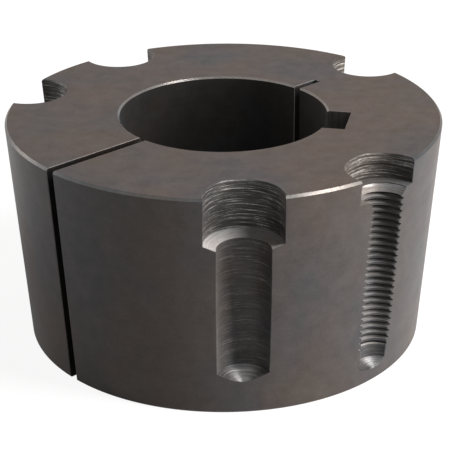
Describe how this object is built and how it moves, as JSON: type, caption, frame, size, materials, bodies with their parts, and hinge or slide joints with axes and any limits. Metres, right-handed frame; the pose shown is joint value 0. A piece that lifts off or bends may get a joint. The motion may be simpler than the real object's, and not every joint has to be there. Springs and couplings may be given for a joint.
{
  "type": "split taper bush",
  "caption": "Split taper bush that grips a keyed shaft in a pulley or sprocket hub, with plain and tapped half-holes for screws in its tapered side.",
  "frame": {"origin": "on the bore axis, in the small-end face that the bush stands on", "axes": "+Z along the bore axis towards the large end; the split is at 225 degrees from +X, so -Y faces the picture's camera"},
  "size_m": [0.146, 0.1459, 0.0762],
  "materials": {
    "bush_iron": "turned and ground, dark oxide"
  },
  "bodies": {
    "root": {"taper_bush": "bush_iron"}
  },
  "joints": []
}
